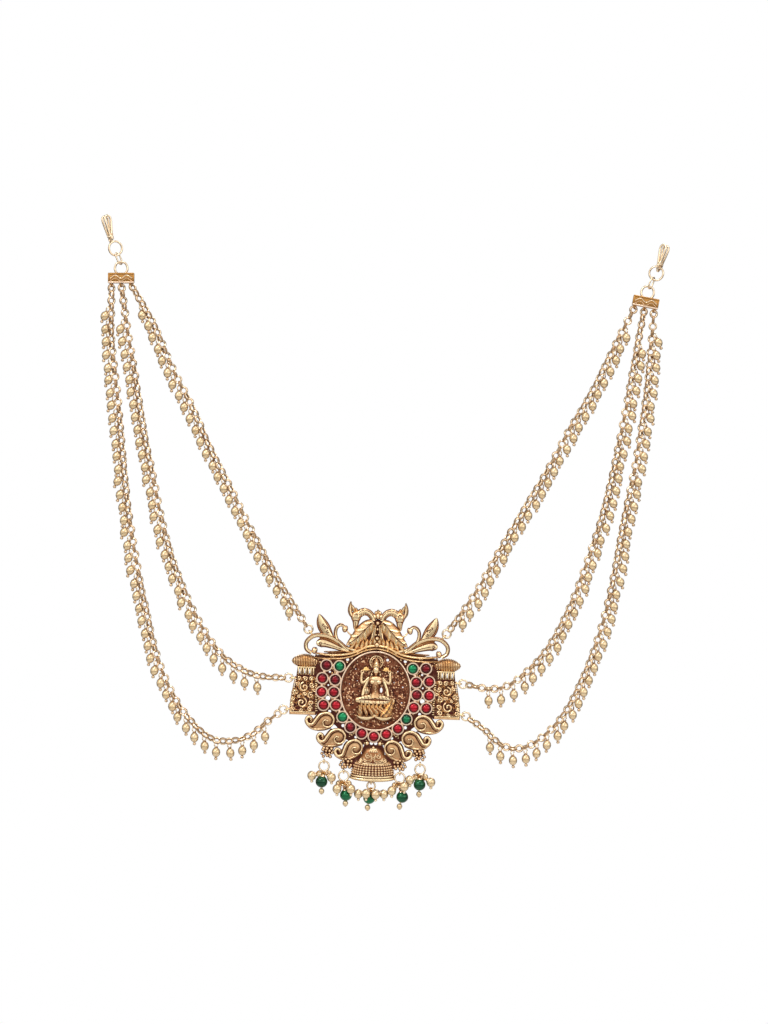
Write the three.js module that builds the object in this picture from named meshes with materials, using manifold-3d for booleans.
// Hair braid ornament: a cast pendant carried on six chains between two hooks.
//
// Millimetres, +Z up. Everything is drawn in a flat frame, x to the right, y up and z towards the
// viewer, and one outer group stands that drawing up, so the ornament hangs in the XZ plane with
// its front facing -Y. The origin is the inside of the left hook's bend, where it sits on its pin.

import * as THREE from 'three';
import { mergeVertices } from 'three/addons/utils/BufferGeometryUtils.js';
import Module from 'manifold-3d';

const wasm = await Module();
wasm.setup();

const deg = THREE.MathUtils.degToRad;

// ---------------------------------------------------------------- driving dimensions

const CLEAR = 0.15; // play between interlocked rings
const BEAD_SIDES = 10;
const STONE_SIDES = 8;
const WIRE_SIDES = 5;

const CHAIN = { width: 2.6, loop: 1.0, wire: 0.3, sides: 8, stride: 16, bend: deg(14) };
const DROP = { attach: 1.2, length: 5.9, pearl: 3.9, stand: 2.85, thickness: 1.8 };
const CONNECTOR = { radius: 1.5, wire: 0.38 };
const LUG = { radius: 1.0, wire: 0.33 };
const EYE = { radius: 0.75, wire: 0.28 };

const HOOK = { wire: 0.4, bend: 1.15, legs: 7.2, length: 9.6, strands: 0.95 };
const RING = { radius: 2.53, wire: 0.36 };
const SMALL_LINK = { radius: 1.2, straight: 2.0, wire: 0.28 };
const BAR = { width: 9.2, height: 3.8, depth: 2.6, loopPitch: 3.5, archWidth: 4.5, archTop: 5.85 };

const PENDANT = { x: 97.0, y: -170.6, back: -1.0, turn: deg(-2) };
const PLATE = 1.1; // thickness of the casting behind its relief
const RELIEF_BASE = 0.4;
const MEDALLION = { x: 12.4, y: 13.9, rim: 0.55, rimTop: 2.3 };
const PLAQUE = { x: 12.0, y: 13.5, thickness: 0.8 };
const STONE = { radius: 1.62, table: 1.0, culet: 1.65, girdle: 2.15, top: 2.95 };
const BEZEL = { outer: 2.12, inner: 1.84, floor: 1.35, top: 2.5 };
const GREEN_BEAD = 2.15;
const PEARL = 1.5;

// ---------------------------------------------------------------- colours

const metal = (color, roughness) => new THREE.MeshStandardMaterial({ color, roughness, metalness: 1 });
const gem = (color) => new THREE.MeshStandardMaterial({ color, roughness: 0.15, metalness: 0 });
const ANTIQUE_GOLD = metal(0xc99b52, 0.38);
const BRIGHT_GOLD = metal(0xdcb878, 0.28);
const ORANGE_GOLD = metal(0xb8772f, 0.36);
const COPPER = metal(0x9c5a34, 0.45);
const RUBY = gem(0xb5152b);
const EMERALD = gem(0x0d6b45);

// ---------------------------------------------------------------- geometry helpers

const v3 = (x, y, z = 0) => new THREE.Vector3(x, y, z);
const smooth = (points) => new THREE.CatmullRomCurve3(points, false, 'centripetal');
const flatCurve = (points) => smooth(points.map(([x, y]) => v3(x, y)));

// Six times the volume inside a mesh, negative when its faces point inwards.
function signedVolume(position, index) {
  const corner = (i) => v3().fromArray(position, 3 * index[i]);
  let sum = 0;
  for (let i = 0; i < index.length; i += 3) {
    sum += corner(i).dot(corner(i + 1).cross(corner(i + 2)));
  }
  return sum;
}

// A geometry with shared corners and faces that point out.
function clean(geometry) {
  const bare = geometry.clone();
  bare.deleteAttribute('normal');
  bare.deleteAttribute('uv');
  const merged = mergeVertices(bare, 1e-4);
  const index = merged.index.array;
  if (signedVolume(merged.attributes.position.array, index) < 0) {
    for (let i = 0; i < index.length; i += 3) {
      [index[i], index[i + 1]] = [index[i + 1], index[i]];
    }
  }
  return merged;
}

function toSolid(geometry) {
  const { index, attributes } = clean(geometry);
  return new wasm.Manifold(new wasm.Mesh({
    numProp: 3,
    vertProperties: Float32Array.from(attributes.position.array),
    triVerts: Uint32Array.from(index.array),
  }));
}

function toGeometry(solid) {
  const mesh = solid.getMesh();
  const geometry = new THREE.BufferGeometry();
  geometry.setAttribute('position', new THREE.BufferAttribute(mesh.vertProperties, 3));
  geometry.setIndex(new THREE.BufferAttribute(mesh.triVerts, 1));
  return geometry;
}

const fuse = (geometries) => geometries.map(toSolid).reduce((a, b) => a.add(b));
const mirrored = (geometry) => clean(geometry).scale(-1, 1, 1);

// A closed body through rings of points, with fan caps, or run round on itself.
function loft(rings, closed = false) {
  const count = rings[0].length;
  const index = [];
  const spans = closed ? rings.length : rings.length - 1;
  for (let i = 0; i < spans; i += 1) {
    const a = i * count;
    const b = ((i + 1) % rings.length) * count;
    for (let j = 0; j < count; j += 1) {
      const k = (j + 1) % count;
      index.push(a + j, b + j, b + k, a + j, b + k, a + k);
    }
  }
  if (!closed) {
    const last = (rings.length - 1) * count;
    for (let j = 1; j < count - 1; j += 1) {
      index.push(0, j, j + 1, last, last + j + 1, last + j);
    }
  }
  const geometry = new THREE.BufferGeometry().setFromPoints(rings.flat());
  return geometry.setIndex(index);
}

// Cross sections of relief: [across, height], each from -1 to 1 and 0 to 1.
const SECTION = {
  ridge: [[0.5, 1], [1, 0], [-1, 0], [-0.5, 1]],
  blade: [[0, 1], [1, 0], [-1, 0]],
};

// Relief that follows a curve across the casting's face. It starts inside the base plate's thickness.
function relief(curve, steps, halfWidth, height, section = SECTION.blade, base = RELIEF_BASE) {
  const rings = [];
  for (let i = 0; i <= steps; i += 1) {
    const t = i / steps;
    const point = curve.getPointAt(t);
    const along = curve.getTangentAt(t);
    rings.push(section.map(([across, up]) => v3(
      point.x - along.y * across * halfWidth(t),
      point.y + along.x * across * halfWidth(t),
      base + up * (height(t) - base),
    )));
  }
  return loft(rings);
}

const leafWidth = (half) => (t) => 0.12 + half * Math.sin(Math.PI * Math.min(1, t * 0.97 + 0.03)) ** 0.75;

function wire(points, radius, steps, sides = WIRE_SIDES) {
  const corners = Array.from({ length: sides }, (_, i) => {
    const turn = (2 * Math.PI * i) / sides;
    return new THREE.Vector2(radius * Math.cos(turn), radius * Math.sin(turn));
  });
  return new THREE.ExtrudeGeometry(
    new THREE.Shape(corners),
    { steps, extrudePath: smooth(points), bevelEnabled: false },
  );
}

const flatShape = (points) => new THREE.Shape(points.map(([x, y]) => new THREE.Vector2(x, y)));

function slab(points, thickness, hole = null) {
  const shape = flatShape(points);
  shape.holes = hole ? [flatShape(hole)] : [];
  return new THREE.ExtrudeGeometry(shape, { depth: thickness, bevelEnabled: false });
}

const ovalPath = (x, y) => new THREE.Path().absellipse(0, 0, x, y, 0, 2 * Math.PI, false, 0);
const flatRing = ({ radius, wire: r }) => new THREE.TorusGeometry(radius, r, WIRE_SIDES, BEAD_SIDES);
const edgeRing = (size, heading) => flatRing(size).rotateX(Math.PI / 2).rotateZ(heading);

// An eye cast on an edge: a drilled tab that stands edge on and points along its heading.
function castEye({ radius, wire: r }, heading) {
  const [out, hole, thickness] = [radius + r, radius - r, 1.6 * r];
  const corner = 0.4 * out;
  const tab = [[-out, -out], [corner, -out], [out, -corner], [out, corner], [corner, out], [-out, out]];
  const bore = [[-hole, -hole], [hole, -hole], [hole, hole], [-hole, hole]];
  return slab(tab, thickness, bore).translate(0, 0, -thickness / 2).rotateX(Math.PI / 2).rotateZ(heading);
}

const granule = (radius, x, y, z) => new THREE.IcosahedronGeometry(radius, 0).translate(x, y, z);

// A rounded lump, half of it sunk in what carries it.
function blob(x, y, z, at) {
  return new THREE.SphereGeometry(1, 7, 4).rotateX(Math.PI / 2).scale(x, y, z).translate(...at);
}

// A link of two half circles and two straight sides, standing edge on, with its length along x.
function ovalLink({ radius, straight, wire: r }) {
  return loft(Array.from({ length: BEAD_SIDES }, (_, i) => {
    const turn = (2 * Math.PI * (i + 0.5)) / BEAD_SIDES;
    const out = v3(Math.cos(turn), 0, Math.sin(turn));
    const centre = out.clone().multiplyScalar(radius).add(v3((Math.sign(out.x) * straight) / 2, 0));
    return Array.from({ length: WIRE_SIDES }, (_unused, j) => {
      const around = (2 * Math.PI * j) / WIRE_SIDES;
      return centre.clone().addScaledVector(out, r * Math.cos(around)).add(v3(0, r * Math.sin(around)));
    });
  }), true);
}

// How far the centre of a ring lies past the centre of the ring that holds it, both pulled tight.
const reach = (holder, held) => holder.radius - holder.wire - held.wire - CLEAR + held.radius;

// ---------------------------------------------------------------- scene graph

const ornament = new THREE.Group();
ornament.rotation.x = Math.PI / 2;

const pendant = new THREE.Group();
pendant.position.set(PENDANT.x, PENDANT.y, PENDANT.back);
pendant.rotation.z = PENDANT.turn;
ornament.add(pendant);

function addPart(name, geometry, material, parent = ornament) {
  const mesh = new THREE.Mesh(geometry, material);
  mesh.name = name;
  parent.add(mesh);
  return mesh;
}

// A place on the pendant, in the ornament's frame and in the chains' plane.
function onPendant(x, y) {
  return v3(x, y).applyAxisAngle(v3(0, 0, 1), PENDANT.turn).add(v3(PENDANT.x, PENDANT.y));
}

// ---------------------------------------------------------------- hooks, rings, links and end bars

const ENDS = [
  {
    side: 'left', hook: v3(0, 0), lean: deg(12), yaw: deg(35),
    ring: v3(3.45, -11.3), ringYaw: deg(28), link: v3(4.64, -14.95), linkHeading: deg(-68),
    bar: v3(5.5, -22.0), barTurn: 0,
  },
  {
    side: 'right', hook: v3(201.3, -10.6), lean: deg(-16.5), yaw: deg(-35),
    ring: v3(198.1, -20.3), ringYaw: deg(-15), link: v3(196.38, -23.72), linkHeading: deg(-112),
    bar: v3(194.3, -30.7), barTurn: deg(-11),
  },
];

// One wire: up from a tip, over the bend, down, round the ring and back the same way beside itself.
function hookGeometry() {
  const strand = (z) => [
    v3(-HOOK.bend * 0.9, -HOOK.legs, z),
    v3(-HOOK.bend, -HOOK.legs / 2, z),
    v3(-HOOK.bend, HOOK.wire - HOOK.bend, z),
    v3(-0.7 * HOOK.bend, HOOK.wire - 0.3 * HOOK.bend, z),
    v3(0, HOOK.wire, z),
    v3(0.7 * HOOK.bend, HOOK.wire - 0.3 * HOOK.bend, z),
    v3(HOOK.bend, HOOK.wire - HOOK.bend, z),
    v3(0.7 * HOOK.bend, -HOOK.length * 0.55, z),
    v3(0, HOOK.wire - HOOK.length + HOOK.strands, z),
  ];
  const foot = v3(0, HOOK.wire - HOOK.length - 0.15, 0);
  const path = [...strand(HOOK.strands), foot, ...strand(-HOOK.strands).reverse()];
  return wire(path, HOOK.wire, 22);
}

function archPoints() {
  const half = BAR.archWidth / 2;
  const foot = BAR.height / 2 - 0.6;
  return [
    v3(-half, foot),
    v3(-half, BAR.archTop - 2.4),
    v3(-0.7 * half, BAR.archTop - 0.7),
    v3(0, BAR.archTop),
    v3(0.7 * half, BAR.archTop - 0.7),
    v3(half, BAR.archTop - 2.4),
    v3(half, foot),
  ];
}

const barLoop = (i) => v3((i - 1) * BAR.loopPitch, -BAR.height / 2 - 0.4);

function barGeometry() {
  const box = (width, height, depth, y) => new THREE.BoxGeometry(width, height, depth).translate(0, y, 0);
  const ridge = (BAR.height - 0.7) / 2;
  const zigzag = Array.from({ length: 9 }, (_, i) => [
    (i / 8 - 0.5) * (BAR.width - 1), (i % 2 ? 0.75 : -0.75),
  ]);
  return toGeometry(fuse([
    box(BAR.width, BAR.height, BAR.depth - 0.6, 0),
    box(BAR.width + 0.2, 0.7, BAR.depth, ridge),
    box(BAR.width + 0.2, 0.7, BAR.depth, -ridge),
    relief(flatCurve(zigzag), 8, () => 0.3, () => BAR.depth / 2 - 0.05, SECTION.blade, 0.5),
    wire(archPoints(), RING.wire, 9),
    ...[0, 1, 2].map((i) => castEye(EYE, Math.PI / 2).translate(barLoop(i).x, barLoop(i).y, 0)),
  ]));
}

for (const end of ENDS) {
  const hook = addPart(`hook_${end.side}`, hookGeometry().rotateY(end.yaw), BRIGHT_GOLD);
  hook.position.copy(end.hook);
  hook.rotation.z = end.lean;
  const ring = addPart(`jump_ring_${end.side}`, flatRing(RING).rotateY(end.ringYaw), BRIGHT_GOLD);
  ring.position.copy(end.ring);
  const link = addPart(`small_link_${end.side}`, clean(ovalLink(SMALL_LINK)), BRIGHT_GOLD);
  link.position.copy(end.link);
  link.rotation.z = end.linkHeading;
  const bar = addPart(`end_bar_${end.side}`, barGeometry(), ORANGE_GOLD);
  bar.position.copy(end.bar);
  bar.rotation.z = end.barTurn;
}

// ---------------------------------------------------------------- chains with their fringe

// Lugs on the right half of the pendant: place, and the way the chain leaves, on each side.
const LUGS = {
  inner: { at: [23.9, 20.1], left: [-0.56, 0.83], right: [0.66, 0.75] },
  middle: { at: [29.8, 3.7], left: [-1, 0.02], right: [1, -0.12] },
  outer: { at: [31.3, -7.6], left: [-1, -0.12], right: [0.95, -0.3] },
};

// Each route is chosen by hand between the end bar's loop and the pendant's connector ring.
const ROUTES = {
  left: {
    outer: [[2.1, -45.4], [4.3, -65.9], [6.1, -86.4], [8.1, -105.8], [10.9, -123.8], [14.2, -140.4],
      [19.3, -160.9], [27.7, -177.8], [38.5, -187.9], [46.5, -188.4], [52.6, -186.2], [57.4, -182.2]],
    middle: [[7.7, -40.3], [10.7, -58.3], [13.5, -76.3], [17.1, -94.3], [20.5, -110.9], [25.7, -128.2],
      [32.8, -144.4], [41.8, -157.7], [50.8, -163.8], [57.2, -165.5]],
    inner: [[17.3, -38.9], [23.2, -52.9], [31, -68.4], [37.9, -83.9], [45.7, -99.4], [53.3, -114.8],
      [61.1, -128.9], [67.2, -139.4]],
  },
  right: {
    outer: [[195.8, -52.2], [193.5, -71.6], [190.1, -92.2], [186.1, -111.2], [182.9, -129.2],
      [178.6, -147.2], [172.1, -165.2], [163.7, -180.7], [153.4, -189.7], [146.9, -191.4],
      [141.8, -189.7], [136.2, -184.6]],
    middle: [[190.7, -49.7], [187.5, -67.7], [183.6, -87.1], [179.1, -106.2], [173.3, -124.2],
      [166.3, -142.2], [157.3, -157.7], [145.7, -168.1], [139.3, -169.9]],
    inner: [[182.9, -47.2], [175.3, -62.6], [166.9, -76.7], [158.5, -92.2], [150.1, -106.2],
      [141.8, -120.2], [133.6, -134.6], [127.8, -143.2]],
  },
};
// Lengths of chain without drops: from the bar, and up to the pendant.
const BARE = {
  top: { inner: 8, middle: 14, outer: 2.5 },
  foot: { inner: 7, middle: 9, outer: 9 },
  taper: 2.5,
};

// The way a drop hangs from a chain: plumb, or leaning out where its pearl would meet the links.
function dropDirection(along, outward) {
  const lean = (DROP.stand - DROP.attach) / DROP.pearl;
  if (-outward.y >= lean) {
    return v3(0, -1);
  }
  const down = along.clone().multiplyScalar(along.y > 0 ? -1 : 1);
  return outward.clone().multiplyScalar(lean).addScaledVector(down, Math.sqrt(1 - lean * lean));
}

// Places on a curve from one of them to the next, closer together where it bends.
function stations(curve, from, to) {
  const places = [from];
  const pace = 0.5 / curve.getLength();
  let heading = curve.getTangentAt(from);
  for (let t = from + pace; t < to - pace; t += pace) {
    const tangent = curve.getTangentAt(t);
    const run = (t - places.at(-1)) * curve.getLength();
    if (run > CHAIN.stride || tangent.angleTo(heading) > CHAIN.bend) {
      places.push(t);
      heading = tangent;
    }
  }
  return [...places, to];
}

// An eight-sided tube whose outer corners run out to the drops' tips where there are drops.
function chainGeometry(route, side, rank, start, finish) {
  const curve = smooth([start.tube, ...route.map(([x, y]) => v3(x, y)), finish.tube]);
  curve.arcLengthDivisions = 400;
  const length = curve.getLength();
  const taper = BARE.taper / length;
  const [firstDrop, lastDrop] = [BARE.top[rank] / length, 1 - BARE.foot[rank] / length];
  const lead = firstDrop > taper ? [0, firstDrop - taper] : [0];
  const places = [...lead, ...stations(curve, firstDrop, lastDrop), lastDrop + taper, 1];
  const turn = side === 'left' ? -1 : 1;
  const rings = [];
  for (const t of places) {
    const centre = curve.getPointAt(t);
    const along = curve.getTangentAt(t);
    const outward = v3(-turn * along.y, turn * along.x);
    const tip = centre.clone().addScaledVector(outward, DROP.attach);
    tip.addScaledVector(dropDirection(along, outward), DROP.length);
    const fringed = t >= firstDrop && t <= lastDrop;
    rings.push(Array.from({ length: CHAIN.sides }, (_, j) => {
      const angle = (2 * Math.PI * (j + 0.5)) / CHAIN.sides;
      if (fringed && Math.cos(angle) > 0.8) {
        return v3(tip.x, tip.y, (Math.sign(Math.sin(angle)) * DROP.thickness) / 2);
      }
      const corner = centre.clone().addScaledVector(outward, (CHAIN.width / 2) * Math.cos(angle));
      return corner.setZ((CHAIN.width / 2) * Math.sin(angle));
    }));
  }
  const loop = { radius: CHAIN.loop, wire: CHAIN.wire };
  return toGeometry(fuse([
    loft(rings),
    flatRing(loop).translate(start.loop.x, start.loop.y, 0),
    edgeRing(loop, finish.heading).translate(finish.loop.x, finish.loop.y, 0),
  ]));
}

for (const end of ENDS) {
  const isLeft = end.side === 'left';
  ['outer', 'middle', 'inner'].forEach((rank, i) => {
    const hole = barLoop(isLeft ? i : 2 - i).applyAxisAngle(v3(0, 0, 1), end.barTurn).add(end.bar);
    const [nextX, nextY] = ROUTES[end.side][rank][0];
    const down = v3((nextX - hole.x) / 2, nextY - hole.y).normalize();
    const loop = { radius: CHAIN.loop, wire: CHAIN.wire };
    const topLoop = hole.clone().addScaledVector(down, reach(EYE, loop));
    const start = { loop: topLoop, tube: topLoop.clone().addScaledVector(down, CHAIN.loop) };

    const lug = LUGS[rank];
    const [lugX, lugY] = lug.at;
    const away = v3(...lug[end.side]).normalize();
    const seat = onPendant(isLeft ? -lugX : lugX, lugY);
    const ringCentre = seat.clone().addScaledVector(away, reach(LUG, CONNECTOR));
    addPart(`connector_${end.side}_${rank}`, flatRing(CONNECTOR), BRIGHT_GOLD).position.copy(ringCentre);

    const footLoop = ringCentre.clone().addScaledVector(away, reach(CONNECTOR, loop));
    const finish = {
      loop: footLoop,
      tube: footLoop.clone().addScaledVector(away, CHAIN.loop),
      heading: Math.atan2(away.y, away.x),
    };
    const geometry = chainGeometry(ROUTES[end.side][rank], end.side, rank, start, finish);
    addPart(`chain_${end.side}_${rank}`, geometry, ANTIQUE_GOLD);
  });
}

// ---------------------------------------------------------------- stones and their bezels

// Places on the right half of the pendant; all but the last stand in mirrored pairs.
const STONES = [
  { kind: 'green', at: [13.2, 8.5] },
  { kind: 'green', at: [11.5, -9.7] },
  { kind: 'red', at: [17.9, 8.7] },
  { kind: 'red', at: [19.2, 4.0] },
  { kind: 'red', at: [19.35, -0.95] },
  { kind: 'red', at: [18.5, -5.6] },
  { kind: 'red', at: [14.6, 3.6] },
  { kind: 'red', at: [14.9, -0.9] },
  { kind: 'red', at: [14.0, -5.5] },
  { kind: 'red', at: [8.55, -13.25] },
  { kind: 'red', at: [4.45, -15.35] },
  { kind: 'red', at: [0, -16.4] },
];

function roundCut() {
  const { radius, table, culet, girdle, top } = STONE;
  const profile = [[0, culet], [radius, girdle], [table, top], [0, top]];
  const lathe = new THREE.LatheGeometry(profile.map(([r, z]) => new THREE.Vector2(r, z)), STONE_SIDES);
  return lathe.rotateX(Math.PI / 2);
}

const stoneCount = { red: 0, green: 0 };
const stonePlaces = STONES.flatMap(({ kind, at: [x, y] }) => (
  x ? [{ kind, x: -x, y }, { kind, x, y }] : [{ kind, x, y }]
));
for (const { kind, x, y } of stonePlaces) {
  stoneCount[kind] += 1;
  const name = `stone_${kind}_${String(stoneCount[kind]).padStart(2, '0')}`;
  addPart(name, roundCut(), kind === 'red' ? RUBY : EMERALD, pendant).position.set(x, y, 0);
}

function post(x, y, radius, from, to, sides = STONE_SIDES) {
  const cylinder = new THREE.CylinderGeometry(radius, radius, to - from, sides);
  return cylinder.rotateX(Math.PI / 2).translate(x, y, (from + to) / 2);
}

// ---------------------------------------------------------------- the casting's relief, right half

function crestParts() {
  const headAndBeak = (t) => (t < 0.55 ? 1.1 : 0.15 + 1.55 * Math.cos(Math.PI * (t - 0.66) * 1.45));
  const budded = (from, to, bud) => (t) => (t > 0.86 ? bud : from + (to - from) * t);
  const teardrop = (t) => 0.2 + 1.7 * (1 - t) * Math.min(1, 6 * t + 0.3);
  return [
    // bird: neck, head and beak, then its crest feather
    relief(
      flatCurve([[1.0, 24.8], [3.0, 27.6], [5.6, 28.9], [8.0, 27.6], [8.8, 25.4], [8.3, 22.2]]),
      7, headAndBeak, () => 2.5, SECTION.ridge,
    ),
    relief(flatCurve([[8.0, 27.0], [9.6, 28.8], [9.9, 31.6]]), 3, leafWidth(1.0), () => 1.8),
    // wing leaf, and the narrow lobe beside the centre line
    relief(
      flatCurve([[2.2, 25.2], [5.4, 23.2], [8.6, 19.8], [11.2, 15.9]]),
      5, leafWidth(2.8), () => 2.9,
    ),
    relief(flatCurve([[1.3, 24.8], [2.2, 20.8], [1.4, 15.4]]), 3, leafWidth(1.4), () => 2.6),
    // inner tendril and its bud
    relief(
      flatCurve([
        [6.6, 13.8], [10.4, 14.8], [13.8, 17.4], [15.2, 20.6], [14.2, 23.3], [12.1, 23.4], [11.3, 21.0],
      ]),
      7, budded(1.3, 0.6, 0.9), () => 2.1,
    ),
    // upper paisley leaf
    relief(
      flatCurve([[15.4, 19.0], [17.6, 21.4], [19.9, 23.6], [20.6, 27.4]]),
      4, leafWidth(2.2), () => 2.2,
    ),
    // outer tendril, which carries the inner chain's lug, and its bud
    relief(
      flatCurve([
        [9.0, 13.0], [14.6, 15.6], [19.6, 18.9], [23.6, 18.6], [25.9, 15.6], [24.6, 12.9], [21.8, 14.2],
      ]),
      8, budded(1.3, 0.8, 1.0), () => 2.2,
    ),
    relief(flatCurve([[22.0, 16.4], [18.4, 15.8], [13.6, 13.8], [8.6, 12.8]]), 3, teardrop, () => 2.3),
    // ridge that arches over the medallion
    relief(flatCurve([[0, 15.8], [5.6, 14.9], [11.0, 12.3], [21.8, 11.8]]), 4, () => 0.9, () => 2.2),
  ];
}

// A running scroll: a small curl unrolls into a stem, which rolls up into a large spiral.
function scrollGeometry() {
  const [span, bigStart, smallStart] = [6.0, 2.3, 1.35];
  const points = [];
  for (let i = 0; i <= 4; i += 1) {
    const angle = deg(140 - 57 * i);
    const radius = THREE.MathUtils.lerp(0.5, smallStart, i / 4);
    points.push([span + radius * Math.cos(angle), -0.6 + radius * Math.sin(angle)]);
  }
  for (let i = 0; i <= 10; i += 1) {
    const angle = deg(-80 - 52 * i);
    const radius = THREE.MathUtils.lerp(bigStart, 0.4, (i / 10) ** 1.1);
    points.push([radius * Math.cos(angle), radius * Math.sin(angle)]);
  }
  return relief(flatCurve(points), 13, (t) => 0.72 - 0.25 * t ** 3, (t) => 2.0 + 0.7 * t);
}

const SCROLLS = [
  { at: [17.1, -11.3], heading: deg(0) },
  { at: [12.8, -17.0], heading: deg(-4) },
  { at: [6.5, -20.6], heading: deg(-21) },
];

function scrollParts() {
  return SCROLLS.flatMap(({ at: [x, y], heading }) => [
    scrollGeometry().rotateZ(heading).translate(x, y, 0),
    post(x, y, 2.0, 0, PLATE, 5),
  ]);
}

function pillarParts() {
  const cap = [[0, -4.7], [1.9, -4.0], [2.7, -0.6], [1.9, 2.6], [0, 5.0]];
  const lathe = new THREE.LatheGeometry(cap.map(([r, y]) => new THREE.Vector2(r, y)), 10);
  return [
    slab([[22.0, 8.2], [28.2, 8.0], [28.9, 2.4], [30.2, -4.0], [30.7, -9.4], [21.0, -9.4]], 1.6),
    lathe.rotateZ(-Math.PI / 2).translate(25.5, 9.9, 0),
    relief(flatCurve([[22.4, 3.4], [28.8, 3.4]]), 1, () => 0.4, () => 2.1),
    relief(
      flatCurve([
        [25.2, -0.4], [26.2, 1.2], [28.0, -0.2], [26.6, -2.6], [23.6, -4.2], [24.4, -7.0], [27.6, -6.4],
      ]),
      8, () => 0.5, () => 2.3,
    ),
  ];
}

const GRANULE_CLUSTERS = [[16.4, -23.2], [9.2, -26.2]];

// Each cluster is two grains over one, cut as octahedra.
function granuleParts() {
  const offsets = [[-1.1, 0.6], [1.1, 0.6], [0, -1.0]];
  const grains = GRANULE_CLUSTERS.flatMap(([x, y]) => offsets.map(([dx, dy]) => (
    new THREE.OctahedronGeometry(1.7).rotateZ(Math.PI / 4).translate(x + dx, y + dy, 0.7)
  )));
  const web = slab([[13.6, -18.4], [18.4, -18.4], [17.9, -25.4], [14.8, -24.4]], PLATE);
  return [...grains, web];
}

function lugParts() {
  return Object.values(LUGS).map(({ at: [x, y], right: [dx, dy] }) => (
    castEye(LUG, Math.atan2(dy, dx)).translate(x, y, -PENDANT.back)
  ));
}

// Base plate behind the stones and the foot of the crest, with its open places.
const PLATE_OUTLINE = [
  [0, 17.4], [7, 15.6], [9.0, 16.6], [6.4, 21.6], [1.6, 26.0], [0, 26.4],
];
const STONE_FIELD = [
  [0, 15.6], [7.6, 14.6], [22.2, 12.0], [22.6, 7.8], [21.6, -9.0], [18.0, -10.0],
  [13.6, -13.2], [10.4, -17.6], [6.6, -19.4], [0, -19.6],
];
const OPEN_PLACES = [
  [16.6, 6.3], [17.0, 1.5], [17.0, -3.2], [16.2, -7.9],
  [10.4, 10.9], [11.2, -12.9], [7.4, -16.2], [2.3, -18.5],
];

// ---------------------------------------------------------------- the casting as one solid

function domeParts() {
  const profile = [
    [0, -20.2], [2.8, -20.6], [4.6, -23.4], [6.6, -26.2],
    [7.4, -29.6], [8.3, -30.6], [8.2, -32.0], [0, -32.0],
  ];
  const lathe = new THREE.LatheGeometry(profile.map(([r, y]) => new THREE.Vector2(r, y)), BEAD_SIDES);
  const tilt = deg(14);
  return [
    lathe.scale(1, 1, 0.52).translate(0, 26, 0).rotateX(tilt).translate(0, -26, 0),
    slab([[-3.4, -17.4], [3.4, -17.4], [4.2, -22.6], [-4.2, -22.6]], PLATE),
    slab([
      [-10.6, -23.0], [10.6, -23.0], [10.2, -27.0], [5.0, -28.6], [-5.0, -28.6], [-10.2, -27.0],
    ], PLATE),
  ];
}

function centreParts() {
  return [
    blob(1.3, 1.9, 1.7, [0, 27.2, 0.8]),
    granule(0.9, 0, 24.6, 1.9),
    granule(0.9, 0, 18.3, 1.5),
    granule(0.8, 0, 16.4, 1.9),
  ];
}

// The raised rim, whose lip overlaps the plaque's edge.
function rimGeometry() {
  const lip = [[-0.5, PLATE], [-0.35, MEDALLION.rimTop], [MEDALLION.rim, MEDALLION.rimTop], [0.9, 0.2]];
  const count = 18;
  return loft(Array.from({ length: count }, (_, i) => {
    const angle = (2 * Math.PI * i) / count;
    return lip.map(([out, z]) => v3(
      (MEDALLION.x + out) * Math.cos(angle),
      (MEDALLION.y + out) * Math.sin(angle),
      z,
    ));
  }), true);
}

// Eyes for the bead clusters, on the casting's lower edge.
const CLUSTER_EYES = [[-17.6, -25.9], [-10.4, -29.2], [-0.4, -32.8], [9.8, -29.2], [17.0, -25.9]];

function castingGeometry() {
  const medallionHole = new THREE.ExtrudeGeometry(
    new THREE.Shape(ovalPath(MEDALLION.x, MEDALLION.y).getPoints(12)),
    { depth: PLATE + 2, bevelEnabled: false },
  ).translate(0, 0, -1);
  const half = fuse([
    slab(PLATE_OUTLINE, PLATE),
    slab(STONE_FIELD, PLATE),
    ...pillarParts(),
    ...scrollParts(),
    ...granuleParts(),
    ...crestParts(),
    ...lugParts(),
    ...stonePlaces.filter(({ x }) => x >= 0).map(({ x, y }) => post(x, y, BEZEL.outer, 0.4, BEZEL.top)),
  ]);
  const openings = fuse([
    ...OPEN_PLACES.map(([x, y]) => post(x, y, 0.75, -1, 4, 4)),
    ...[0, 1, 2].map((i) => new THREE.BoxGeometry(0.6, 2.2, 6).translate(24.0 + 1.5 * i, 5.8, 0)),
  ]);
  const pockets = fuse(
    stonePlaces.filter(({ x }) => x >= 0).map(({ x, y }) => post(x, y, BEZEL.inner, BEZEL.floor, 6)),
  );
  const right = toGeometry(half.subtract(openings).subtract(pockets));
  const behind = toSolid(new THREE.BoxGeometry(90, 90, 10).translate(0, 0, -5));
  const centre = fuse([...domeParts(), ...centreParts(), ...CLUSTER_EYES.map(([x, y]) => (
    castEye(EYE, Math.PI / 2).translate(x, y, 0.9)
  ))]);
  return toGeometry(
    toSolid(right).add(toSolid(mirrored(right))).subtract(toSolid(medallionHole))
      .add(centre).add(toSolid(rimGeometry())).subtract(behind),
  );
}

addPart('pendant_frame', castingGeometry(), ANTIQUE_GOLD, pendant);

// ---------------------------------------------------------------- plaque with the seated figure

const FLOOR_HOLES = [
  [4.0, 11.2], [-7.4, 7.6], [7.8, 7.2], [-9.4, 2.2], [9.8, 1.6], [-9.4, -3.6], [9.6, -4.0], [6.6, 3.2],
  [-6.6, 3.4], [-4.6, -11.5], [4.8, -11.5], [2.5, 0.6],
];

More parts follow.
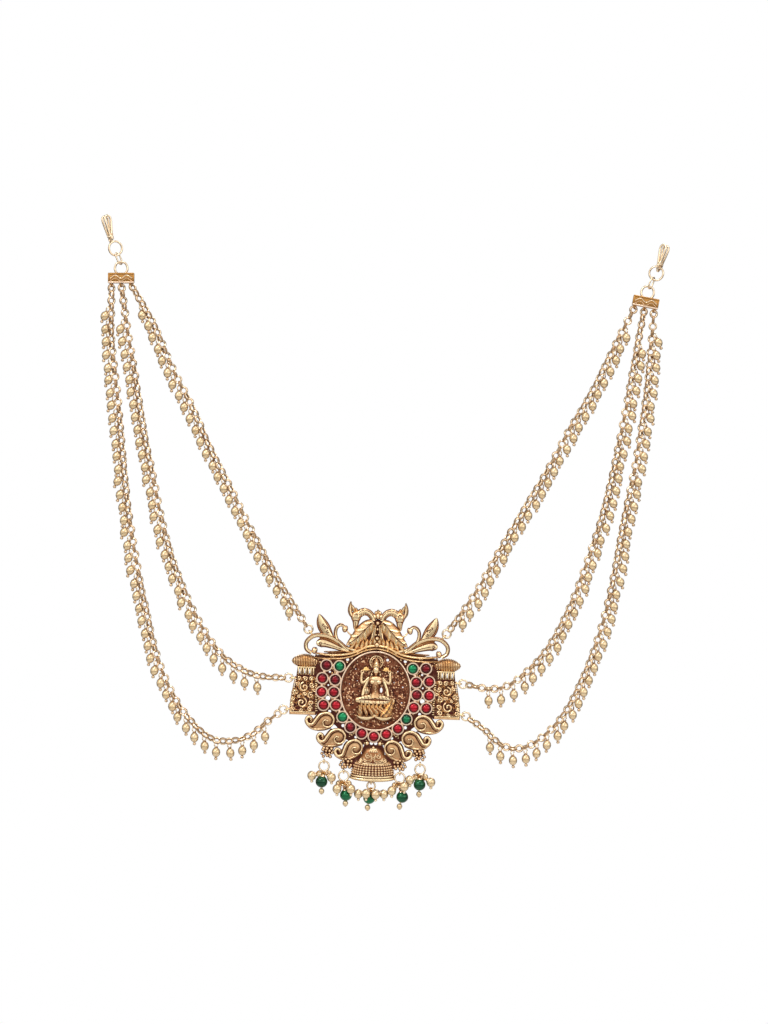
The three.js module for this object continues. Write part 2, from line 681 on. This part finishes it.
function figureParts() {
  const pair = (points, radius) => [-1, 1].map((side) => (
    wire(points.map(([x, y, z]) => v3(side * x, y, z)), radius, 2, 4)
  ));
  const petals = [-40, 0, 40].map((fan) => {
    const angle = deg(fan - 90);
    const root = [2.2 * Math.cos(angle), -6.2 + 0.6 * Math.sin(angle)];
    const tip = [6.6 * Math.cos(angle), -6.4 + 3.4 * Math.sin(angle)];
    return relief(flatCurve([root, tip]), 2, leafWidth(1.7), () => 1.9);
  });
  return [
    new THREE.TorusGeometry(2.0, 0.45, 4, 8).translate(0, 10.9, 1.1), // halo
    blob(1.0, 1.8, 1.2, [0, 10.4, 1.4]), // crown
    blob(1.1, 1.6, 1.2, [0, 7.5, 1.6]), // head
    blob(2.7, 1.3, 1.2, [0, 4.7, 1.3]), // shoulders
    blob(1.7, 3.9, 1.4, [0, 1.8, 1.4]), // body
    blob(3.8, 1.25, 1.3, [-2.8, -3.6, 1.4]), // crossed legs
    blob(3.8, 1.25, 1.3, [2.8, -3.6, 1.4]),
    ...pair([[1.8, 5.0, 1.3], [4.3, 4.2, 1.2], [4.7, 6.2, 1.2], [3.8, 8.2, 1.3]], 0.6), // raised arms
    ...pair([[1.9, 4.4, 1.4], [3.9, 1.9, 1.5], [4.3, -0.4, 1.6], [4.0, -3.0, 1.8]], 0.65), // lower arms
    ...[-3.7, 3.7].map((x) => new THREE.OctahedronGeometry(1.3).translate(x, 8.9, 1.2)), // lotuses
    blob(5.6, 1.4, 1.3, [0, -5.9, 1.0]), // seat
    blob(4.4, 1.1, 1.1, [0, -9.6, 0.8]), // foot of the seat
    ...petals,
  ];
}

function plaqueGeometry() {
  const outline = ovalPath(PLAQUE.x, PLAQUE.y).getPoints(12).slice(0, -1).map(({ x, y }) => [x, y]);
  const floor = toSolid(slab(outline, PLAQUE.thickness));
  const holes = fuse(FLOOR_HOLES.map(([x, y]) => (
    new THREE.CylinderGeometry(0.6, 0.6, 4, 4).rotateX(Math.PI / 2).translate(x, y, 0)
  )));
  const behind = toSolid(new THREE.BoxGeometry(40, 40, 4).translate(0, 0, -1.9));
  return toGeometry(floor.subtract(holes).add(fuse(figureParts())).subtract(behind));
}

addPart('medallion_plaque', plaqueGeometry(), COPPER, pendant);

// ---------------------------------------------------------------- bead clusters

// Offsets from the ring's centre, in the ornament's frame: the green bead, its tip and the pearls.
const CLUSTERS = [
  {
    ring: 1.8, green: [-0.9, -5.6, 0], tip: [0, -9.0],
    pearls: [[-4.4, -3.4, 0.3], [2.7, -4.0, 0.9]],
  },
  {
    ring: 1.8, green: [0.8, -6.9, -0.7], tip: [0.6, -9.9],
    pearls: [[-2.4, -4.6, 1.2], [2.6, -4.6, 1.6]],
  },
  {
    ring: 1.4, green: [-0.7, -4.5, -0.9], tip: [-1.3, -7.9],
    pearls: [[-4.6, -2.9, 0.2], [-1.8, -2.7, 1.8], [1.6, -3.0, 1.8], [4.6, -3.0, 0.2]],
  },
  {
    ring: 1.8, green: [0.9, -6.9, -0.4], tip: [-0.1, -10.3],
    pearls: [[-2.9, -4.6, 0.9], [1.6, -3.0, 1.7]],
  },
  {
    ring: 1.8, green: [-0.2, -5.5, 0], tip: [-0.4, -8.9],
    pearls: [[3.9, -4.6, 0.3], [-3.7, -3.8, 0.6]],
  },
];

// A bead on its pin, turned about an upright axis, from the top of the bead to the gold tip below it.
function bead(profile, at, lean = 0) {
  const points = profile.map(([r, y]) => new THREE.Vector2(r, y));
  return new THREE.LatheGeometry(points, BEAD_SIDES).rotateZ(lean).translate(...at);
}

function clusterGeometry({ ring, green, tip, pearls }) {
  const foot = v3(0, -ring, 0);
  const stalk = (to) => wire([foot, v3(...to)], 0.36, 1, 3);
  const pinLength = Math.hypot(tip[0] - green[0], tip[1] - green[1]);
  const lean = Math.atan2(tip[0] - green[0], green[1] - tip[1]);
  const [g, p] = [GREEN_BEAD, PEARL];
  const pinBead = [
    [0, g], [0.8 * g, 0.6 * g], [g, 0], [0.8 * g, -0.6 * g], [0.7, -pinLength], [0, -pinLength - 0.7],
  ];
  const pearl = [[0, p], [0.88 * p, 0.5 * p], [0.88 * p, -0.5 * p], [0, -1.6 * p]];
  return toGeometry(fuse([
    flatRing({ radius: ring, wire: 0.33 }),
    stalk(green),
    bead(pinBead, green, lean),
    ...pearls.flatMap((at) => [stalk(at), bead(pearl, at)]),
  ]));
}

CLUSTERS.forEach((cluster, i) => {
  const eye = onPendant(...CLUSTER_EYES[i]);
  const drop = reach(EYE, { radius: cluster.ring, wire: 0.33 });
  const mesh = addPart(`bead_cluster_${i + 1}`, clusterGeometry(cluster), EMERALD);
  mesh.position.set(eye.x, eye.y - drop, PENDANT.back + 0.9);
});

export default ornament;
